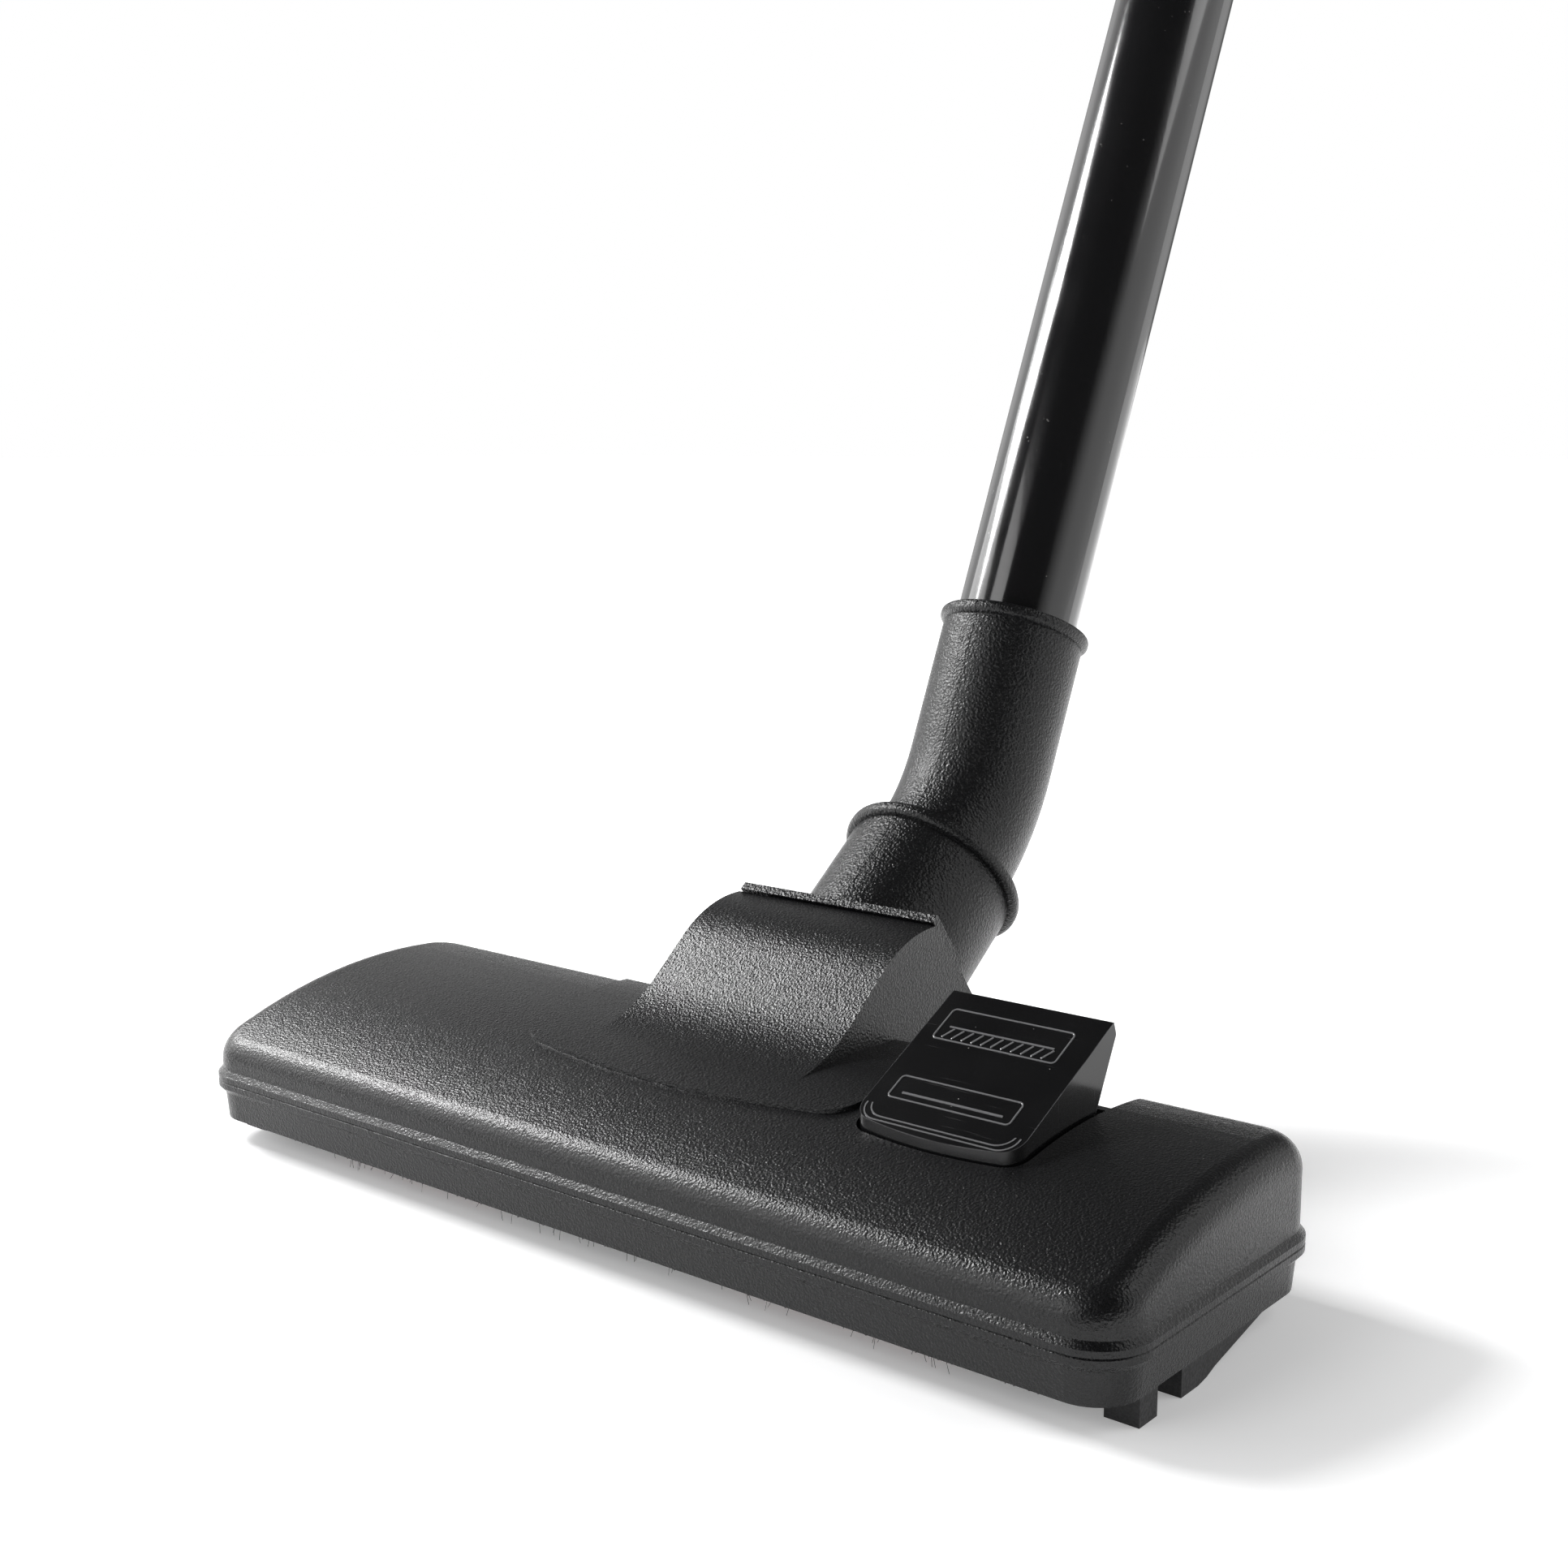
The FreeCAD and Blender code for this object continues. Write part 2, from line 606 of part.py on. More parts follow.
def swept(r, foot, first, middle, last, top):
    path = Part.Wire([
        Part.makeLine(foot, first),
        Part.Arc(first, middle, last).toShape(),
        Part.makeLine(last, top),
    ])
    ring = Part.Wire([Part.makeCircle(r, foot, along)])
    return path.makePipeShell([ring], True, False)


def elbow_body():
    foot, first, middle, last = elbow_path()
    outer = swept(elbow_r, foot, first, middle, last, socket_top)
    inner = swept(elbow_bore, foot - along, first, middle, last, socket_top + wand_along)
    body = outer
    body = body.fuse(bead(socket_top, wand_along, socket_bead_r, wand_r, socket_bead_h))
    body = body.cut(inner)
    seat = socket_top - wand_along * socket_depth
    body = body.cut(Part.makeCylinder(wand_r + wand_fit, socket_depth + 10, seat, wand_along))
    collar = tube(foot, along, 2.6, neck_tube_r - neck_wall - 0.4, elbow_bore)
    return body.fuse(collar).removeSplitter()


def make_wand():
    start = socket_top - wand_along * (socket_depth - 0.3)
    lower = wand_length - swage_length - swage_blend
    wider = wand_wall + wand_fit
    profile = [
        (wand_r - wand_wall, 0), (wand_r, 0), (wand_r, lower),
        (wand_r + wider, lower + swage_blend), (wand_r + wider, wand_length),
        (wand_r + wider - wand_wall, wand_length), (wand_r + wider - wand_wall, lower + swage_blend),
        (wand_r - wand_wall, lower),
    ]
    wire = Part.makePolygon([V(r, 0, z) for r, z in profile + profile[:1]])
    tube_shape = Part.Face(wire).revolve(V(0, 0, 0), UP, 360)
    tube_shape.rotate(V(0, 0, 0), RIGHT, -math.degrees(wand_lean))
    tube_shape.translate(start)
    return tube_shape


# ---------------------------------------------------------------- pedal and brush gear
def make_pedal():
    slope = math.tan(math.radians(pedal_slope))
    tip = (pedal_rear, pedal_front_z + (pedal_rear - pedal_front) * slope)
    under_y = 31.5
    profile = [
        (pedal_front, 28.5), (pedal_front, pedal_front_z), tip,
        (tip[0] + 0.9, tip[1] - pedal_edge), (under_y, 41.0), (under_y - 3, 30.0), (8.0, 28.5),
    ]
    body = side_prism(profile, pedal_left, pedal_right).common(pedal_outline(0))
    top_face = max(body.Faces, key=lambda f: f.CenterOfMass.z)
    body = body.makeFillet(pedal_round, top_face.Edges)
    inner_profile = [
        (pedal_front + 2, 20.0), (pedal_front + 2, pedal_front_z - 1.6), (tip[0] - 3.4, tip[1] - 3.8),
        (under_y - 1.6, 42.0), (under_y - 4.6, 20.0),
    ]
    body = body.cut(side_prism(inner_profile, pedal_left + 2.0, pedal_right - 2.0).common(pedal_outline(-2.0)))
    hub = rod_x(pedal_pivot[0], pedal_pivot[1], 4.2, pedal_left, pedal_right)
    hub = hub.cut(rod_x(pedal_pivot[0], pedal_pivot[1], 4.3, pedal_left + 8, pedal_right - 8))
    body = body.fuse(hub)
    finger = block(finger_x[0], finger_x[1], finger_rear - finger_thick, finger_rear, carrier_high + finger_gap, 44)
    body = body.fuse(finger)
    body = body.cut(rod_x(pedal_pivot[0], pedal_pivot[1], pedal_pin_r + pin_clear, pedal_left - 1, pedal_right + 1))
    return body.removeSplitter()


def make_pedal_axle():
    return rod_x(pedal_pivot[0], pedal_pivot[1], pedal_pin_r, pedal_left - axle_reach, pedal_right + axle_reach)


def make_pedal_spring():
    """Close-wound torsion spring on the axle; one leg under the pedal, one on the well's front."""
    py, pz = pedal_pivot
    r = pedal_pin_r + spring_wire / 2 + 0.1
    pitch = spring_wire * 0.95
    start = finger_x[0] + 1
    spring = None
    for i in range(spring_turns):
        coil = Part.makeTorus(r, spring_wire / 2, V(start + i * pitch, py, pz), RIGHT)
        spring = coil if spring is None else spring.fuse(coil)
    last = start + (spring_turns - 1) * pitch
    low_end = V(start, pedal_front - pedal_gap + 0.1, well_depth + 1.2)
    low_start = V(start, py, pz - r)
    high_start = V(last, py - r, pz)
    high_end = V(last, py - r - 2.0, pz + 8.0)
    for a, b in ((low_start, low_end), (high_start, high_end)):
        spring = spring.fuse(Part.makeCylinder(spring_wire / 2, (b - a).Length, a, b - a))
    return spring.removeSplitter()


def make_brush_carrier():
    bars = []
    for y0, y1 in brush_slots:
        bars.append(block(-brush_slot_half + 1, brush_slot_half - 1, y0 + brush_clear, y1 - brush_clear, carrier_low, carrier_high))
    rear_y1 = brush_slots[1][1] - brush_clear
    front_y0 = brush_slots[0][0] + brush_clear
    frame = bars[0].fuse(bars[1])
    # the rear bar leaves the duct's width free
    frame = frame.cut(block(-hood_half - duct_gap, hood_half + duct_gap, 0, 20, 0, 40))
    for x in (-100, -50, 50, 100):
        frame = frame.fuse(block(x - 4, x + 4, front_y0, rear_y1, bridge_low, carrier_high))
    arm = block(finger_x[0] - 2, finger_x[1] + 2, front_y0, finger_rear + 1.5, bridge_low, carrier_high)
    frame = frame.fuse(arm)
    return frame.removeSplitter()


def make_bristles(index):
    y0, y1 = brush_slots[index]
    inset = 1.0
    strip = block(-brush_slot_half + 3, brush_slot_half - 3, y0 + brush_clear + inset, y1 - brush_clear - inset, bristle_tip, carrier_low)
    if index == 1:
        keep = hood_half + duct_gap + 1
        strip = strip.cut(block(-keep, keep, 0, 20, -1, 40))
    return strip


def make_wheels(side):
    x = side * wheel_x
    hub = rod_x(wheel_y, wheel_r, wheel_r - 1.6, x - wheel_w / 2, x + wheel_w / 2)
    hub = hub.cut(rod_x(wheel_y, wheel_r, axle_r + run_clear, x - wheel_w, x + wheel_w))
    tyre = rod_x(wheel_y, wheel_r, wheel_r, x - wheel_w / 2, x + wheel_w / 2)
    rims = [e for e in tyre.Edges if e.Closed]
    tyre = tyre.makeFillet(0.8, rims)
    tyre = tyre.cut(rod_x(wheel_y, wheel_r, wheel_r - 1.6, x - wheel_w, x + wheel_w))
    axle = rod_x(wheel_y, wheel_r, axle_r, x - wheel_w / 2 - 3.5, x + wheel_w / 2 + 3.5)
    return hub, tyre, axle


def make_cover_screws():
    screws = []
    for x, y in screw_points:
        seat = skirt_z + 4.5
        shank = Part.makeCylinder(screw_r, parting_z + 10 - seat, V(x, y, seat), UP)
        head = Part.makeCylinder(screw_head_r, 2.0, V(x, y, seat - 2.0), UP)
        cross = block(x - 2, x + 2, y - 0.4, y + 0.4, seat - 2.1, seat - 1.2)
        cross = cross.fuse(block(x - 0.4, x + 0.4, y - 2, y + 2, seat - 2.1, seat - 1.2))
        screws.append(shank.fuse(head).cut(cross).removeSplitter())
    return screws


# ---------------------------------------------------------------- export
def save(name, shape):
    solids = shape if isinstance(shape, list) else [shape]
    whole = Part.makeCompound([s for item in solids for s in item.Solids])
    bad = [s for s in whole.Solids if not s.isValid()]
    box = whole.BoundBox
    print(f"{name:18s} solids {len(whole.Solids)} bad {len(bad)} volume {whole.Volume:9.0f} "
          f"x {box.XMin:.1f}..{box.XMax:.1f} y {box.YMin:.1f}..{box.YMax:.1f} z {box.ZMin:.1f}..{box.ZMax:.1f}")
    whole.exportStep(f"parts/{name}.step")


def main():
    os.makedirs("parts", exist_ok=True)
    save("top_cover", make_top_cover())
    save("base_tray", make_base_tray())
    save("sole_plate", make_sole_plate())
    save("lint_strip_front", make_lint_strip(0))
    save("lint_strip_rear", make_lint_strip(1))
    save("neck_hood", make_neck_hood())
    save("air_duct", make_air_duct())
    save("drum_cradle", make_drum_cradle())
    save("pivot_pins", make_pivot_pins())
    left, right = split_halves(neck_body())
    save("neck_shell_left", left)
    save("neck_shell_right", right)
    save("swivel_ring", make_swivel_ring())
    save("neck_seal", make_neck_seal())
    left, right = split_halves(elbow_body())
    save("elbow_left", left)
    save("elbow_right", right)
    save("wand_tube", make_wand())
    save("pedal", make_pedal())
    save("pedal_axle", make_pedal_axle())
    save("pedal_spring", make_pedal_spring())
    save("brush_carrier", make_brush_carrier())
    save("bristles_front", make_bristles(0))
    save("bristles_rear", make_bristles(1))
    for name, side in (("left", -1), ("right", 1)):
        hub, tyre, axle = make_wheels(side)
        save(f"wheel_hub_{name}", hub)
        save(f"wheel_tyre_{name}", tyre)
        save(f"wheel_axle_{name}", axle)
    save("cover_screws", make_cover_screws())


main()
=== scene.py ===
import math
import random

import bpy
from mathutils import Matrix, Vector


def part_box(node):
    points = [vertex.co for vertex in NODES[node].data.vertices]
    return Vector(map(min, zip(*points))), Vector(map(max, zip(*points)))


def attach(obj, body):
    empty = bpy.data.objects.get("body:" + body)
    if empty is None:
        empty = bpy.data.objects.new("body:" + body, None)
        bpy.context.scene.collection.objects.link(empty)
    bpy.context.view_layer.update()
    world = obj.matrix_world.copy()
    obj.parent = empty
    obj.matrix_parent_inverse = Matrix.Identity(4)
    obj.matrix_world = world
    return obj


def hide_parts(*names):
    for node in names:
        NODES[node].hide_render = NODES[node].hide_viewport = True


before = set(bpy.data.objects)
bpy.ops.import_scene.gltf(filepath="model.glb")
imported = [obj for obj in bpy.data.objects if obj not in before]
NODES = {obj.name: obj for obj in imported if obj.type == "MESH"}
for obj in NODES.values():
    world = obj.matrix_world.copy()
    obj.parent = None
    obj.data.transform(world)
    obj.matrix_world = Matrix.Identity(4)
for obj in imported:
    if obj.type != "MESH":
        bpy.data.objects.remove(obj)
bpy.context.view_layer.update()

MM = 0.001


# ---------------------------------------------------------------- node helpers
def new_group(name, inputs, outputs):
    """An empty shader group with named sockets; returns the group, its input and its output node."""
    group = bpy.data.node_groups.new(name, "ShaderNodeTree")
    for label, kind, value in inputs:
        item = group.interface.new_socket(name=label, in_out="INPUT", socket_type=kind)
        if value is not None:
            item.default_value = value
    for label, kind in outputs:
        group.interface.new_socket(name=label, in_out="OUTPUT", socket_type=kind)
    return group, group.nodes.new("NodeGroupInput"), group.nodes.new("NodeGroupOutput")


def node(tree, kind, links=None, **values):
    """Adds a node; values set its properties or, failing that, its sockets by name."""
    made = tree.nodes.new(kind)
    for key, value in values.items():
        label = key.replace("_", " ")
        if hasattr(made, key):
            setattr(made, key, value)
        else:
            made.inputs[label].default_value = value
    for socket, source in (links or {}).items():
        tree.links.new(source, made.inputs[socket])
    return made


def maths(tree, operation, a, b=None, clamp=False):
    """One sum of two values, each a number or another node's output."""
    made = tree.nodes.new("ShaderNodeMath")
    made.operation = operation
    made.use_clamp = clamp
    for socket, value in zip(made.inputs, (a, b)):
        if value is None:
            continue
        if isinstance(value, (int, float)):
            socket.default_value = value
        else:
            tree.links.new(value, socket)
    return made.outputs[0]


def ramp(tree, source, low, high, out_low=0.0, out_high=1.0):
    """Maps low..high to out_low..out_high in a straight line, held level past both ends."""
    made = tree.nodes.new("ShaderNodeMapRange")
    made.inputs["From Min"].default_value = low
    made.inputs["From Max"].default_value = high
    made.inputs["To Min"].default_value = out_low
    made.inputs["To Max"].default_value = out_high
    tree.links.new(source, made.inputs["Value"])
    return made.outputs["Result"]


def mix_colour(tree, factor, a, b):
    """Blends two colours, each fixed or another node's output."""
    made = tree.nodes.new("ShaderNodeMix")
    made.data_type = "RGBA"
    for socket, value in ((made.inputs[0], factor), (made.inputs[6], a), (made.inputs[7], b)):
        if hasattr(value, "is_linked"):
            tree.links.new(value, socket)
        else:
            socket.default_value = value
    return made.outputs[2]


# ---------------------------------------------------------------- shared effects
def make_spark_grain():
    """Spark-eroded mould texture: fine round pits with a coarser orange-peel under them."""
    group, src, out = new_group(
        "spark_grain",
        [
            ("Pit Size", "NodeSocketFloat", 1100.0),
            ("Depth", "NodeSocketFloat", 0.4),
            ("Peel", "NodeSocketFloat", 0.25),
        ],
        [("Mask", "NodeSocketFloat"), ("Normal", "NodeSocketVector")],
    )
    place = node(group, "ShaderNodeTexCoord").outputs["Object"]
    spacing = {"Vector": place, "Scale": src.outputs["Pit Size"]}
    pits = node(group, "ShaderNodeTexNoise", spacing, Detail=2.5, Roughness=0.55)
    cells = node(group, "ShaderNodeTexVoronoi", spacing, feature="SMOOTH_F1")
    peel = node(group, "ShaderNodeTexNoise", {"Vector": place}, Scale=420.0, Detail=1.0)
    body = maths(group, "ADD", pits.outputs["Fac"], maths(group, "MULTIPLY", cells.outputs["Distance"], 0.6))
    height = maths(group, "ADD", body, maths(group, "MULTIPLY", peel.outputs["Fac"], src.outputs["Peel"]))
    bump = node(group, "ShaderNodeBump", {"Height": height, "Strength": src.outputs["Depth"]}, Distance=0.0004)
    group.links.new(ramp(group, pits.outputs["Fac"], 0.35, 0.68), out.inputs["Mask"])
    group.links.new(bump.outputs["Normal"], out.inputs["Normal"])
    return group


def make_edge_wear_and_highlight():
    """Edges rubbed smoother where hands and skirting boards touch them; the same mask pales them, partly wear
    and partly a painted edge highlight.
    """
    group, src, out = new_group(
        "edge_wear_and_highlight",
        [("Radius", "NodeSocketFloat", 0.0006), ("Amount", "NodeSocketFloat", 0.5)],
        [("Mask", "NodeSocketFloat")],
    )
    bevel = node(group, "ShaderNodeBevel", {"Radius": src.outputs["Radius"]}, samples=6)
    flat = node(group, "ShaderNodeNewGeometry")
    normals = {0: bevel.outputs["Normal"], 1: flat.outputs["Normal"]}
    dot = node(group, "ShaderNodeVectorMath", normals, operation="DOT_PRODUCT")
    edge = ramp(group, dot.outputs["Value"], 0.995, 0.86)
    place = node(group, "ShaderNodeTexCoord").outputs["Object"]
    patch = node(group, "ShaderNodeTexNoise", {"Vector": place}, Scale=90.0, Detail=3.0)
    worn = maths(group, "MULTIPLY", edge, ramp(group, patch.outputs["Fac"], 0.3, 0.6))
    group.links.new(maths(group, "MULTIPLY", worn, src.outputs["Amount"], True), out.inputs["Mask"])
    return group


def make_dust_specks():
    """A thin scatter of lint and dust, thickest on the faces that look up."""
    group, src, out = new_group(
        "dust_specks",
        [("Density", "NodeSocketFloat", 0.5), ("Speck Size", "NodeSocketFloat", 700.0)],
        [("Mask", "NodeSocketFloat")],
    )
    place = node(group, "ShaderNodeTexCoord").outputs["Object"]
    cells = node(group, "ShaderNodeTexVoronoi", {"Vector": place, "Scale": src.outputs["Speck Size"]})
    speck = ramp(group, cells.outputs["Distance"], 0.16, 0.08)
    pick = node(group, "ShaderNodeTexNoise", {"Vector": place}, Scale=260.0, Detail=2.0)
    chosen = maths(group, "GREATER_THAN", pick.outputs["Fac"], 0.66)
    normal = node(group, "ShaderNodeNewGeometry").outputs["Normal"]
    facing = node(group, "ShaderNodeSeparateXYZ", {"Vector": normal})
    up = ramp(group, facing.outputs["Z"], -0.1, 0.6, 0.25, 1.0)
    settled = maths(group, "MULTIPLY", maths(group, "MULTIPLY", speck, chosen), up)
    group.links.new(maths(group, "MULTIPLY", settled, src.outputs["Density"], True), out.inputs["Mask"])
    return group


SPARK_GRAIN = make_spark_grain()
EDGE_WEAR_AND_HIGHLIGHT = make_edge_wear_and_highlight()
DUST_SPECKS = make_dust_specks()


def use_group(tree, group, **values):
    made = tree.nodes.new("ShaderNodeGroup")
    made.node_tree = group
    for key, value in values.items():
        made.inputs[key.replace("_", " ")].default_value = value
    return made


def blank_material(name):
    material = bpy.data.materials.new(name)
    material.use_nodes = True
    tree = material.node_tree
    return material, tree, tree.nodes["Principled BSDF"]


def moulded_plastic(name, colour, rough, pit, depth, peel, edge, dust, specular=0.5):
    """Injection-moulded plastic with mould grain, rubbed edges paled partly as a painted edge highlight, and a
    little dust.
    """
    material, tree, shader = blank_material(name)
    grain = use_group(tree, SPARK_GRAIN, Pit_Size=pit, Depth=depth, Peel=peel)
    rub_and_highlight = use_group(tree, EDGE_WEAR_AND_HIGHLIGHT, Amount=edge)
    specks = use_group(tree, DUST_SPECKS, Density=dust)
    place = node(tree, "ShaderNodeTexCoord").outputs["Object"]
    drift = node(tree, "ShaderNodeTexNoise", {"Vector": place}, Scale=14.0, Detail=3.0)
    dark = tuple(c * 0.62 for c in colour) + (1.0,)
    light = tuple(c * 1.55 for c in colour) + (1.0,)
    # paler edges: partly rubbed wear, partly a painted edge highlight
    paler = tuple(min(1.0, c * 1.7 + 0.02) for c in colour) + (1.0,)
    base = mix_colour(tree, grain.outputs["Mask"], dark, light)
    base = mix_colour(tree, rub_and_highlight.outputs["Mask"], base, paler)
    base = mix_colour(tree, specks.outputs["Mask"], base, (0.32, 0.31, 0.29, 1.0))
    tree.links.new(base, shader.inputs["Base Color"])
    uneven = ramp(tree, drift.outputs["Fac"], 0.3, 0.7, rough - 0.03, rough + 0.04)
    pitted = maths(tree, "ADD", uneven, maths(tree, "MULTIPLY", grain.outputs["Mask"], -0.08))
    polished = maths(tree, "SUBTRACT", pitted, maths(tree, "MULTIPLY", rub_and_highlight.outputs["Mask"], 0.12), True)
    tree.links.new(polished, shader.inputs["Roughness"])
    tree.links.new(grain.outputs["Normal"], shader.inputs["Normal"])
    shader.inputs["Specular IOR Level"].default_value = specular
    return material


def gloss_plastic(name, colour, rough, dust):
    """Polished mould finish: nearly mirror smooth, with dust, hairline scuffs, a faint ripple, and pale grey
    edges that are partly wear and partly a painted edge highlight.
    """
    material, tree, shader = blank_material(name)
    rub_and_highlight = use_group(tree, EDGE_WEAR_AND_HIGHLIGHT, Amount=0.8, Radius=0.0004)
    specks = use_group(tree, DUST_SPECKS, Density=dust, Speck_Size=900.0)
    place = node(tree, "ShaderNodeTexCoord").outputs["Object"]
    ripple = node(tree, "ShaderNodeTexNoise", {"Vector": place}, Scale=60.0, Detail=1.5)
    stretch = node(tree, "ShaderNodeMapping", {"Vector": place})
    stretch.inputs["Scale"].default_value = (60.0, 1400.0, 60.0)
    scuff = node(tree, "ShaderNodeTexNoise", {"Vector": stretch.outputs["Vector"]}, Scale=1.0, Detail=2.0)
    scratch = ramp(tree, scuff.outputs["Fac"], 0.66, 0.74)
    # pale grey edge colour: partly rubbed wear, partly a painted edge highlight
    base = mix_colour(tree, rub_and_highlight.outputs["Mask"], tuple(colour) + (1.0,), (0.16, 0.16, 0.165, 1.0))
    base = mix_colour(tree, specks.outputs["Mask"], base, (0.42, 0.41, 0.39, 1.0))
    tree.links.new(base, shader.inputs["Base Color"])
    uneven = ramp(tree, ripple.outputs["Fac"], 0.3, 0.7, rough - 0.02, rough + 0.05)
    haze = maths(tree, "ADD", uneven, maths(tree, "MULTIPLY", scratch, 0.12))
    dusty = maths(tree, "ADD", haze, maths(tree, "MULTIPLY", specks.outputs["Mask"], 0.5), True)
    tree.links.new(dusty, shader.inputs["Roughness"])
    bump = node(tree, "ShaderNodeBump", {"Height": ripple.outputs["Fac"]}, Strength=0.05, Distance=0.0008)
    tree.links.new(bump.outputs["Normal"], shader.inputs["Normal"])
    return material


WAND_LEAN = math.radians(23.9)


def lacquered_tube(name):
    """Stoved black lacquer on drawn steel tube: deep gloss, slight draw lines along it, lint specks."""
    material, tree, shader = blank_material(name)
    specks = use_group(tree, DUST_SPECKS, Density=0.55, Speck_Size=620.0)
    place = node(tree, "ShaderNodeTexCoord").outputs["Object"]
    turn = node(tree, "ShaderNodeMapping", {"Vector": place})
    turn.inputs["Rotation"].default_value = (WAND_LEAN, 0.0, 0.0)
    turn.inputs["Scale"].default_value = (700.0, 700.0, 6.0)
    draw = node(tree, "ShaderNodeTexNoise", {"Vector": turn.outputs["Vector"]}, Scale=1.0, Detail=1.0)
    cloud = node(tree, "ShaderNodeTexNoise", {"Vector": place}, Scale=40.0, Detail=2.0)
    lacquer, lint = (0.006, 0.006, 0.0065, 1.0), (0.35, 0.34, 0.32, 1.0)
    base = mix_colour(tree, specks.outputs["Mask"], lacquer, lint)
    tree.links.new(base, shader.inputs["Base Color"])
    haze = ramp(tree, cloud.outputs["Fac"], 0.3, 0.7, 0.13, 0.19)
    rough = maths(tree, "ADD", haze, maths(tree, "MULTIPLY", specks.outputs["Mask"], 0.5))
    tree.links.new(rough, shader.inputs["Roughness"])
    bump = node(tree, "ShaderNodeBump", {"Height": draw.outputs["Fac"]}, Strength=0.04, Distance=0.0003)
    tree.links.new(bump.outputs["Normal"], shader.inputs["Normal"])
    shader.inputs["Coat Weight"].default_value = 0.6
    shader.inputs["Coat Roughness"].default_value = 0.05
    shader.inputs["Specular IOR Level"].default_value = 0.65
    return material


def drawn_steel(name):
    """Bright drawn steel with fine lines round it."""
    material, tree, shader = blank_material(name)
    place = node(tree, "ShaderNodeTexCoord").outputs["Object"]
    turn = node(tree, "ShaderNodeMapping", {"Vector": place})
    turn.inputs["Scale"].default_value = (80.0, 2400.0, 2400.0)
    lines = node(tree, "ShaderNodeTexNoise", {"Vector": turn.outputs["Vector"]}, Scale=1.0, Detail=2.0)
    base = mix_colour(tree, lines.outputs["Fac"], (0.36, 0.36, 0.37, 1.0), (0.62, 0.62, 0.63, 1.0))
    tree.links.new(base, shader.inputs["Base Color"])
    tree.links.new(ramp(tree, lines.outputs["Fac"], 0.3, 0.7, 0.24, 0.42), shader.inputs["Roughness"])
    shader.inputs["Metallic"].default_value = 1.0
    return material


def pile_cloth(name, low, high, scale):
    """Short raised pile: lint strip or felt."""
    material, tree, shader = blank_material(name)
    place = node(tree, "ShaderNodeTexCoord").outputs["Object"]
    lean = node(tree, "ShaderNodeMapping", {"Vector": place})
    lean.inputs["Scale"].default_value = (scale, scale * 0.35, scale)
    hairs = node(tree, "ShaderNodeTexNoise", {"Vector": lean.outputs["Vector"]}, Scale=1.0, Detail=4.0)
    base = mix_colour(tree, hairs.outputs["Fac"], low + (1.0,), high + (1.0,))
    tree.links.new(base, shader.inputs["Base Color"])
    bump = node(tree, "ShaderNodeBump", {"Height": hairs.outputs["Fac"]}, Strength=0.8, Distance=0.0006)
    tree.links.new(bump.outputs["Normal"], shader.inputs["Normal"])
    tree.links.new(ramp(tree, hairs.outputs["Fac"], 0.2, 0.8, 0.8, 1.0), shader.inputs["Roughness"])
    shader.inputs["Sheen Weight"].default_value = 0.4
    return material


def nylon_tuft(name):
    """Black nylon, paler and dustier towards the tips."""
    material, tree, shader = blank_material(name)
    place = node(tree, "ShaderNodeTexCoord").outputs["Object"]
    split = node(tree, "ShaderNodeSeparateXYZ", {"Vector": place})
    tip = ramp(tree, split.outputs["Z"], 0.006, 0.0005)
    hairs = node(tree, "ShaderNodeTexNoise", {"Vector": place}, Scale=900.0, Detail=2.0)
    dusty = maths(tree, "MULTIPLY", tip, hairs.outputs["Fac"])
    base = mix_colour(tree, dusty, (0.012, 0.012, 0.013, 1.0), (0.07, 0.068, 0.065, 1.0))
    tree.links.new(base, shader.inputs["Base Color"])
    tree.links.new(ramp(tree, hairs.outputs["Fac"], 0.3, 0.7, 0.3, 0.5), shader.inputs["Roughness"])
    return material


# moulded plastics: colour, roughness, pit size, depth, peel, edge rub and painted edge highlight, dust, specular
HOUSING = moulded_plastic("housing_grain", (0.0075, 0.0076, 0.0081), 0.29, 1700.0, 0.45, 0.03, 0.35, 0.25, 0.38)
NECK = moulded_plastic("neck_grain", (0.007, 0.0071, 0.0076), 0.31, 1400.0, 0.75, 0.06, 0.5, 0.2, 0.36)
INNER = moulded_plastic("inner_plastic", (0.016, 0.016, 0.017), 0.5, 1600.0, 0.15, 0.1, 0.3, 0.3, 0.35)
TYRE = moulded_plastic("tyre_rubber", (0.02, 0.02, 0.02), 0.7, 700.0, 0.3, 0.3, 0.4, 0.8)
PEDAL = gloss_plastic("pedal_gloss", (0.006, 0.006, 0.0064), 0.16, 0.75)
# grey on the pedal's black raised lines and lips is a painted highlight
PEDAL_LINE_HIGHLIGHT = gloss_plastic("pedal_raised_lines_painted_highlight", (0.15, 0.15, 0.154), 0.2, 0.6)
WAND = lacquered_tube("wand_lacquer")
STEEL = drawn_steel("drawn_steel")
LINT = pile_cloth("lint_pile", (0.16, 0.008, 0.008), (0.5, 0.03, 0.03), 2400.0)
FELT = pile_cloth("ring_felt", (0.05, 0.05, 0.05), (0.14, 0.14, 0.14), 1800.0)
BRISTLE = nylon_tuft("nylon_bristle")

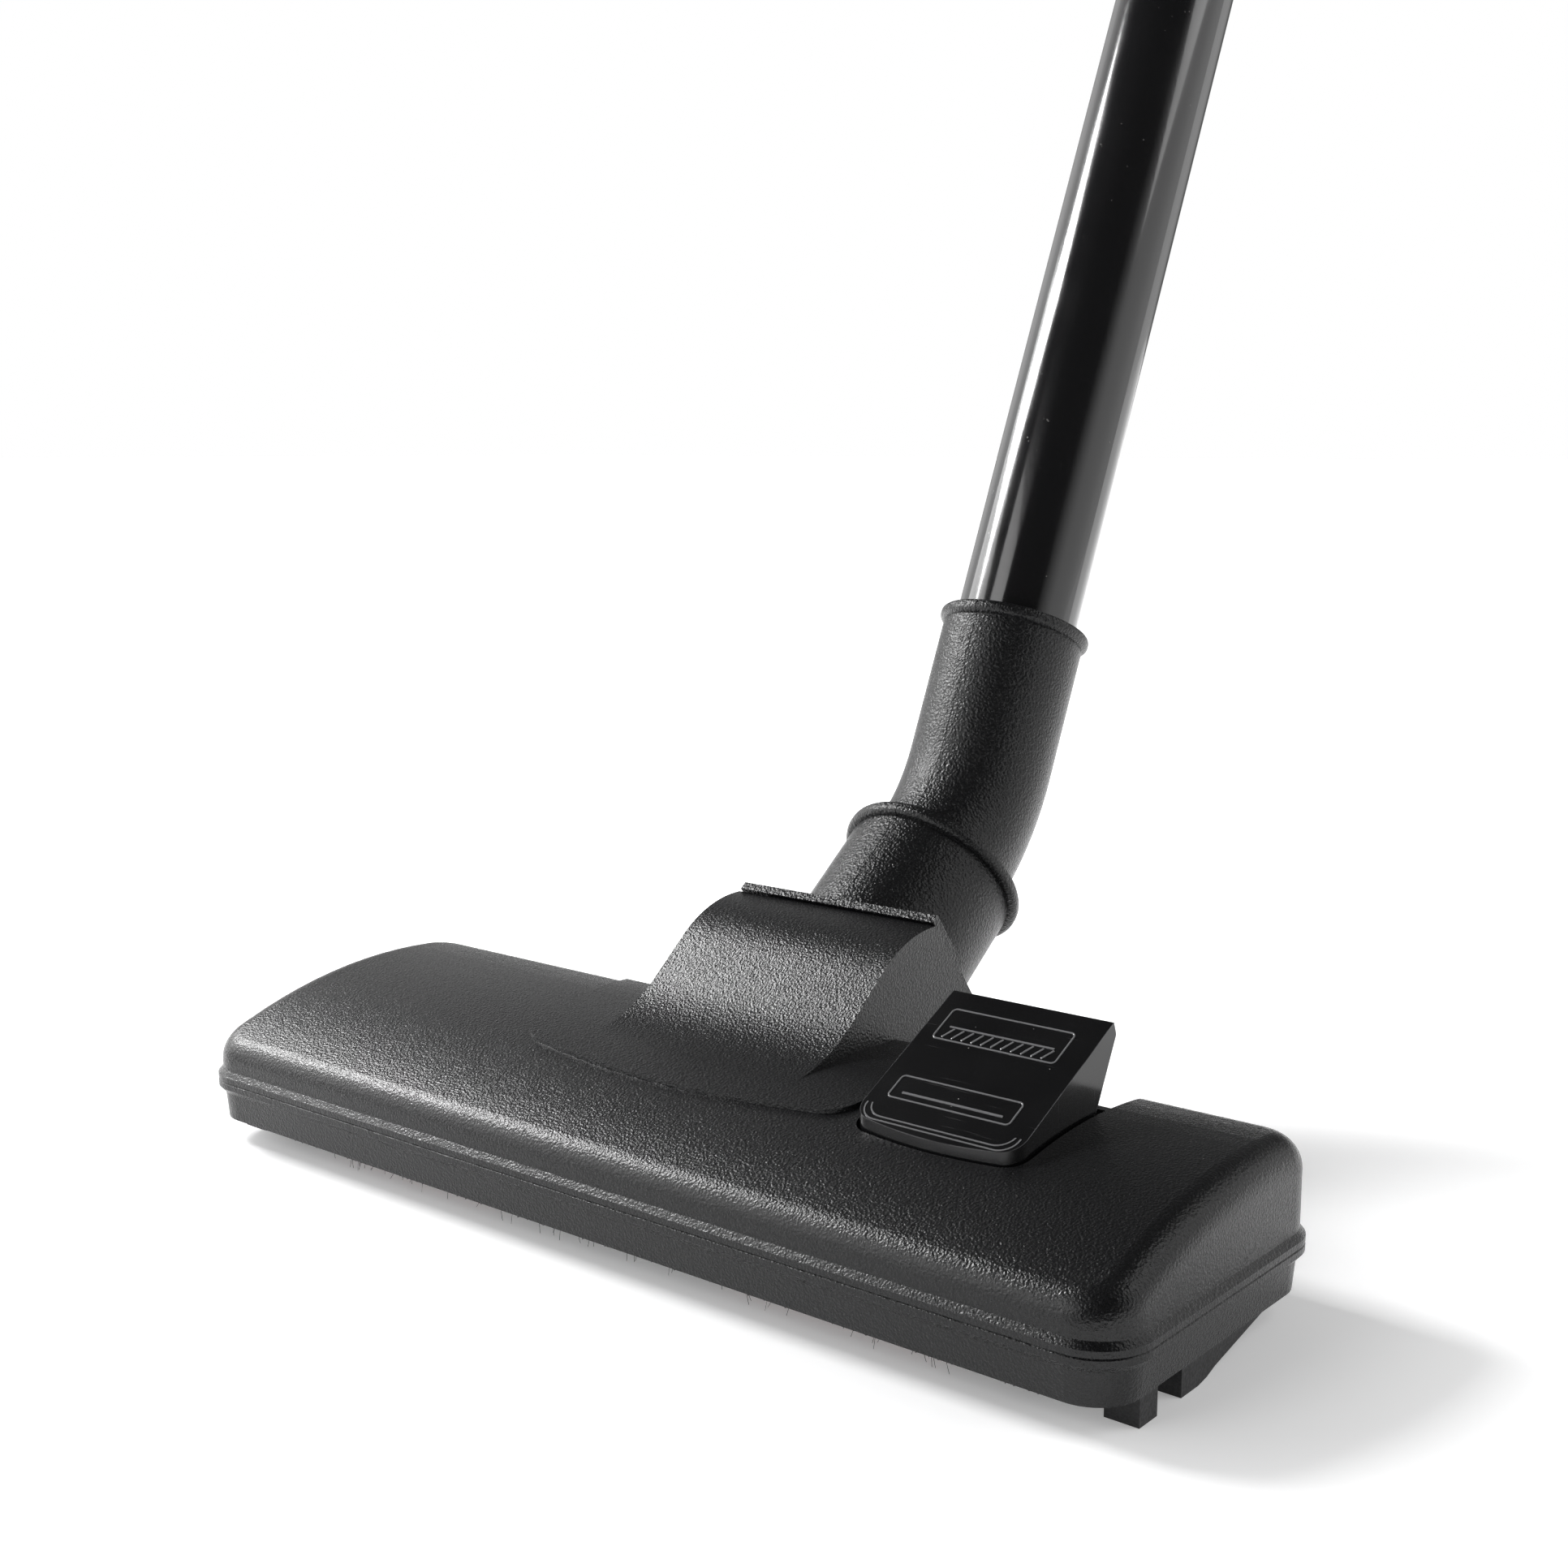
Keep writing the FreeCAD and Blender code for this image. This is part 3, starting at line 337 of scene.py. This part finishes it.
FINISHES = {
    HOUSING: ("top_cover", "base_tray", "neck_hood"),
    NECK: ("neck_shell_left", "neck_shell_right", "elbow_left", "elbow_right"),
    INNER: (
        "sole_plate", "air_duct", "drum_cradle", "brush_carrier", "swivel_ring",
        "wheel_hub_left", "wheel_hub_right",
    ),
    PEDAL: ("pedal",),
    WAND: ("wand_tube",),
    STEEL: (
        "pivot_pins", "cover_screws", "pedal_axle", "pedal_spring",
        "wheel_axle_left", "wheel_axle_right",
    ),
    LINT: ("lint_strip_front", "lint_strip_rear"),
    FELT: ("neck_seal",),
    TYRE: ("wheel_tyre_left", "wheel_tyre_right"),
    BRISTLE: ("bristles_front", "bristles_rear"),
}


def paint(obj, material):
    obj.data.materials.clear()
    obj.data.materials.append(material)


for material, names in FINISHES.items():
    for name in names:
        paint(NODES[name], material)


# ---------------------------------------------------------------- modelling helpers
def nothing_selected():
    bpy.ops.object.select_all(action="DESELECT")


def settle(obj):
    """Moves the piece's place, turn and size into its mesh."""
    nothing_selected()
    obj.select_set(True)
    bpy.context.view_layer.objects.active = obj
    bpy.ops.object.transform_apply(location=True, rotation=True, scale=True)


def apply_modifiers(obj):
    nothing_selected()
    obj.select_set(True)
    bpy.context.view_layer.objects.active = obj
    for modifier in list(obj.modifiers):
        bpy.ops.object.modifier_apply(modifier=modifier.name)


def own_mesh_copy(obj, name):
    twin = obj.copy()
    twin.data = obj.data.copy()
    twin.name = name
    bpy.context.collection.objects.link(twin)
    return twin


def join(pieces, name):
    nothing_selected()
    for piece in pieces:
        piece.select_set(True)
    bpy.context.view_layer.objects.active = pieces[0]
    bpy.ops.object.join()
    pieces[0].name = name
    return pieces[0]


# ---------------------------------------------------------------- pedal signs
PEDAL_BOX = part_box("pedal")
PEDAL_SLOPE = math.radians(27.2)
PEDAL_MIDDLE = (PEDAL_BOX[0][0] + PEDAL_BOX[1][0]) / 2
PEDAL_EDGE_HEIGHT = 40.0 * MM
PEDAL_EDGE = Vector((PEDAL_MIDDLE, PEDAL_BOX[0][1], PEDAL_EDGE_HEIGHT))
HATCH_COUNT = 11
HATCH_PITCH = 2.7
HATCH_LEAN = math.radians(62)


def on_pedal(obj):
    """Lays a piece drawn flat at the origin, in mm across and up the slope, onto the pedal's face."""
    turn = Matrix.Rotation(PEDAL_SLOPE, 4, "X")
    obj.matrix_world = Matrix.Translation(PEDAL_EDGE) @ turn @ Matrix.Scale(MM, 4)
    settle(obj)


def raised_bar(length, width, height, x, up, turn=0.0):
    """One raised line of a sign: a bar with its top edges rounded over."""
    nothing_selected()
    bpy.ops.mesh.primitive_cube_add(size=1.0, location=(0.0, 0.0, 0.0))
    bar = bpy.context.object
    bar.scale = (length, width, height * 2)
    settle(bar)
    round_over = bar.modifiers.new("round", "BEVEL")
    round_over.width = min(width, height) * 0.45
    round_over.segments = 2
    apply_modifiers(bar)
    bar.rotation_euler = (0.0, 0.0, turn)
    bar.location = (x, up, 0.0)
    settle(bar)
    return bar


def raised_frame(width, height, x, up, line=0.4, proud=0.22):
    """A sign's outline: a rectangle with its inside let out, its corners rounded."""
    nothing_selected()
    bpy.ops.mesh.primitive_plane_add(size=1.0, location=(0.0, 0.0, 0.0))
    frame_piece = bpy.context.object
    frame_piece.scale = (width, height, 1.0)
    settle(frame_piece)
    bpy.ops.object.mode_set(mode="EDIT")
    bpy.ops.mesh.select_all(action="SELECT")
    bpy.ops.mesh.bevel(offset=1.3, segments=4, affect="VERTICES")
    bpy.ops.mesh.select_all(action="SELECT")
    bpy.ops.mesh.inset(thickness=line)
    bpy.ops.mesh.delete(type="FACE")
    bpy.ops.object.mode_set(mode="OBJECT")
    wall = frame_piece.modifiers.new("wall", "SOLIDIFY")
    wall.thickness = proud * 2
    wall.offset = 0.0
    round_over = frame_piece.modifiers.new("round", "BEVEL")
    round_over.width = 0.1
    round_over.segments = 2
    apply_modifiers(frame_piece)
    frame_piece.location = (x, up, 0.0)
    settle(frame_piece)
    return frame_piece


def make_pedal_signs():
    """Brush-down sign above, with its row of hatched bristles, and brush-up sign below."""
    upper = [raised_frame(33.5, 10.8, -1.2, 35.2), raised_bar(28.4, 0.5, 0.2, -1.2, 34.4)]
    for i in range(HATCH_COUNT):
        upper.append(raised_bar(3.6, 0.5, 0.2, -14.6 + i * HATCH_PITCH, 32.3, HATCH_LEAN))
    lower = [raised_frame(33.0, 7.6, -0.8, 13.0), raised_bar(27.0, 0.6, 0.22, -0.6, 11.4)]
    sign = join(upper + lower, "pedal_signs")
    on_pedal(sign)
    return sign


def make_pedal_lips():
    """Two fine steps that follow the pedal's front edge."""
    parts = []
    for inset in (1.3, 2.5):
        nothing_selected()
        bpy.ops.mesh.primitive_plane_add(size=1.0, location=(0.0, 0.0, 0.0))
        lip = bpy.context.object
        lip.scale = (43.8 - inset * 2, 14.0, 1.0)
        lip.location = (0.0, 7.0 + inset + 0.3, 0.0)
        settle(lip)
        bpy.ops.object.mode_set(mode="EDIT")
        bpy.ops.mesh.select_all(action="SELECT")
        bpy.ops.mesh.bevel(offset=4.6, segments=8, affect="VERTICES")
        bpy.ops.mesh.select_all(action="SELECT")
        bpy.ops.mesh.inset(thickness=0.35)
        bpy.ops.mesh.delete(type="FACE")
        bpy.ops.mesh.select_all(action="SELECT")
        bpy.ops.mesh.bisect(plane_co=(0.0, 6.5, 0.0), plane_no=(0.0, 1.0, 0.0), clear_outer=True)
        bpy.ops.object.mode_set(mode="OBJECT")
        wall = lip.modifiers.new("wall", "SOLIDIFY")
        wall.thickness = 0.3
        wall.offset = 0.0
        apply_modifiers(lip)
        parts.append(lip)
    lips = join(parts, "pedal_lips")
    on_pedal(lips)
    return lips


# ---------------------------------------------------------------- bristle tufts
def one_tuft(height, seed):
    """A bunch of nylon in mm: a tapered seven-sided core with its tips pulled uneven."""
    rng = random.Random(seed)
    nothing_selected()
    bpy.ops.mesh.primitive_cone_add(vertices=7, radius1=1.25, radius2=0.8, depth=height, end_fill_type="NGON")
    tuft = bpy.context.object
    bpy.ops.object.mode_set(mode="EDIT")
    bpy.ops.mesh.select_all(action="SELECT")
    bpy.ops.mesh.subdivide(number_cuts=2)
    bpy.ops.object.mode_set(mode="OBJECT")
    for vertex in tuft.data.vertices:
        if vertex.co.z < -height * 0.3:
            vertex.co.x += rng.uniform(-0.25, 0.25)
            vertex.co.y += rng.uniform(-0.12, 0.12)
            vertex.co.z += rng.uniform(0.0, 0.9)
        elif vertex.co.z < 0:
            vertex.co.x += rng.uniform(-0.1, 0.1)
    return tuft


TUFT_PITCH = 2.7
TUFT_INSET = 1.4
REAR_GAP_HALF = 36.0
TUFT_PATTERNS = 4


def make_tufts(node_name, name):
    """A row of tufts in place of one strip; the rear row leaves the middle free."""
    low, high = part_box(node_name)
    height = (high[2] - low[2]) / MM
    middle_y = (low[1] + high[1]) / 2 / MM
    patterns = [one_tuft(height, seed) for seed in range(TUFT_PATTERNS)]
    tufts = []
    count = int((high[0] - low[0]) / MM / TUFT_PITCH)
    start = low[0] / MM + TUFT_INSET
    gap_half = REAR_GAP_HALF if node_name == "bristles_rear" else -1.0
    for i in range(count):
        x = start + i * TUFT_PITCH
        if abs(x) < gap_half:
            continue
        copy = own_mesh_copy(patterns[i % TUFT_PATTERNS], "tuft")
        copy.location = (x, middle_y, (low[2] + high[2]) / 2 / MM)
        copy.rotation_euler = (0.0, 0.0, i * 2.4)
        tufts.append(copy)
    for pattern in patterns:
        bpy.data.objects.remove(pattern)
    strip = join(tufts, name)
    settle(strip)
    strip.scale = (MM, MM, MM)
    settle(strip)
    paint(strip, BRISTLE)
    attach(strip, "brush")
    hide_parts(node_name)


HAIR_COUNT = 46


def make_stray_hairs():
    """A few bent hairs that have worked out under the front of the skirt."""
    low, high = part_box("bristles_front")
    rng = random.Random(11)
    curve = bpy.data.curves.new("stray_hairs", "CURVE")
    curve.dimensions = "3D"
    curve.bevel_depth = 0.00006
    curve.bevel_resolution = 0
    for _ in range(HAIR_COUNT):
        x = rng.uniform(low[0] * 0.8, high[0] * 0.8)
        spline = curve.splines.new("POLY")
        spline.points.add(4)
        lean = rng.uniform(-0.25, 0.35)
        length = rng.uniform(0.0016, 0.0034)
        curl = rng.uniform(-0.0008, 0.0008)
        for i, point in enumerate(spline.points):
            t = i / 4
            across = x + lean * length * t + curl * t * t
            point.co = (across, low[1] + 0.0002 - 0.0006 * t, low[2] + 0.0012 - length * t, 1.0)
    obj = bpy.data.objects.new("stray_hairs", curve)
    bpy.context.collection.objects.link(obj)
    nothing_selected()
    obj.select_set(True)
    bpy.context.view_layer.objects.active = obj
    bpy.ops.object.convert(target="MESH")
    obj = bpy.context.object
    paint(obj, BRISTLE)
    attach(obj, "brush")


# the raised signs and lips are painted grey: a painted highlight on black raised lines
for piece in (make_pedal_signs(), make_pedal_lips()):
    paint(piece, PEDAL_LINE_HIGHLIGHT)
    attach(piece, "pedal")
make_tufts("bristles_front", "brush_tufts_front")
make_tufts("bristles_rear", "brush_tufts_rear")
make_stray_hairs()


# ---------------------------------------------------------------- floor, lights and camera
FLOOR_SIZE = 60.0


def make_floor():
    """A plain pale sweep with painted light: it glows, dimmer near the object and brighter away from it, so that
    no horizon shows.
    """
    nothing_selected()
    bpy.ops.mesh.primitive_plane_add(size=FLOOR_SIZE, location=(0.0, 0.0, 0.0))
    floor = bpy.context.object
    floor.name = "studio_floor"
    material, tree, shader = blank_material("glowing_paper_sweep")
    place = node(tree, "ShaderNodeTexCoord").outputs["Object"]
    tooth = node(tree, "ShaderNodeTexNoise", {"Vector": place}, Scale=300.0, Detail=2.0)
    base = mix_colour(tree, tooth.outputs["Fac"], (0.93, 0.93, 0.935, 1.0), (0.96, 0.96, 0.965, 1.0))
    tree.links.new(base, shader.inputs["Base Color"])
    shader.inputs["Roughness"].default_value = 0.85
    # painted light: the floor glows at 0.22 within 0.12 m of the object, rising to full glow at 0.36 m
    reach = node(tree, "ShaderNodeVectorMath", {0: place}, operation="LENGTH")
    tree.links.new(ramp(tree, reach.outputs["Value"], 0.12, 0.36, 0.22, 1.0), shader.inputs["Emission Strength"])
    shader.inputs["Emission Color"].default_value = (1.0, 1.0, 1.0, 1.0)
    paint(floor, material)


def soft_light(name, spot, aim, width, height, power):
    light = bpy.data.lights.new(name, "AREA")
    light.shape = "RECTANGLE"
    light.size = width
    light.size_y = height
    light.energy = power
    obj = bpy.data.objects.new(name, light)
    bpy.context.collection.objects.link(obj)
    obj.location = spot
    obj.rotation_euler = (Vector(aim) - Vector(spot)).to_track_quat("-Z", "Y").to_euler()


def along(tree, way, direction):
    """How far a direction of sight points along a fixed one, -1 to 1."""
    dot = node(tree, "ShaderNodeVectorMath", {0: way}, operation="DOT_PRODUCT")
    dot.inputs[1].default_value = direction
    return dot.outputs["Value"]


AWAY_FROM_VIEWER = (-0.634, 0.774, 0.0)
VIEWER_RIGHT = (0.774, 0.634, 0.0)
# name, place, aim, width, height, watts; metres
SOFTBOXES = (
    ("softbox_low_left", (-1.25, -0.5, 0.62), (0.0, 0.1, 0.2), 1.5, 0.8, 10.0),
    ("softbox_high_left", (-0.98, -0.12, 0.86), (0.0, 0.0, 0.05), 0.36, 0.36, 15.0),
    ("softbox_side", (-0.45, -1.25, 0.8), (0.0, 0.15, 0.3), 0.7, 1.1, 6.0),
    ("softbox_high_right", (0.9, 0.55, 1.1), (0.0, 0.1, 0.05), 0.7, 0.7, 3.0),
)


def make_studio():
    """White backdrop, dim room towards the viewer, softboxes at the left and a weak one at the right."""
    bpy.context.scene.view_settings.view_transform = "Standard"
    world = bpy.data.worlds.new("studio")
    bpy.context.scene.world = world
    world.use_nodes = True
    tree = world.node_tree
    way = node(tree, "ShaderNodeTexCoord").outputs["Generated"]
    back = along(tree, way, AWAY_FROM_VIEWER)
    side = along(tree, way, VIEWER_RIGHT)
    height = node(tree, "ShaderNodeSeparateXYZ", {"Vector": way}).outputs["Z"]
    low = ramp(tree, height, 0.72, 0.4)
    leftward = ramp(tree, side, 0.15, -0.45, 0.12, 0.9)
    backdrop = maths(tree, "MULTIPLY", ramp(tree, back, 0.0, 0.6), leftward)
    flank = ramp(tree, side, 0.5, 0.85, 0.0, 0.85)
    panels = maths(tree, "MULTIPLY", maths(tree, "ADD", backdrop, flank), low)
    glow = maths(tree, "ADD", panels, 0.03)
    seen = node(tree, "ShaderNodeLightPath").outputs["Is Camera Ray"]
    level = maths(tree, "MAXIMUM", glow, seen)
    shade = tree.nodes["Background"]
    shade.inputs["Color"].default_value = (1.0, 1.0, 1.0, 1.0)
    tree.links.new(level, shade.inputs["Strength"])
    for softbox in SOFTBOXES:
        soft_light(*softbox)


def make_camera():
    data = bpy.data.cameras.new("studio_camera")
    data.sensor_width = 36.0
    data.lens = 46.87
    data.clip_start = 0.01
    camera = bpy.data.objects.new("studio_camera", data)
    bpy.context.collection.objects.link(camera)
    camera.location = (0.32504, -0.35200, 0.18893)
    camera.rotation_euler = (math.radians(80.6225), math.radians(-0.04), math.radians(39.3245))
    bpy.context.scene.camera = camera


make_floor()
make_studio()
make_camera()
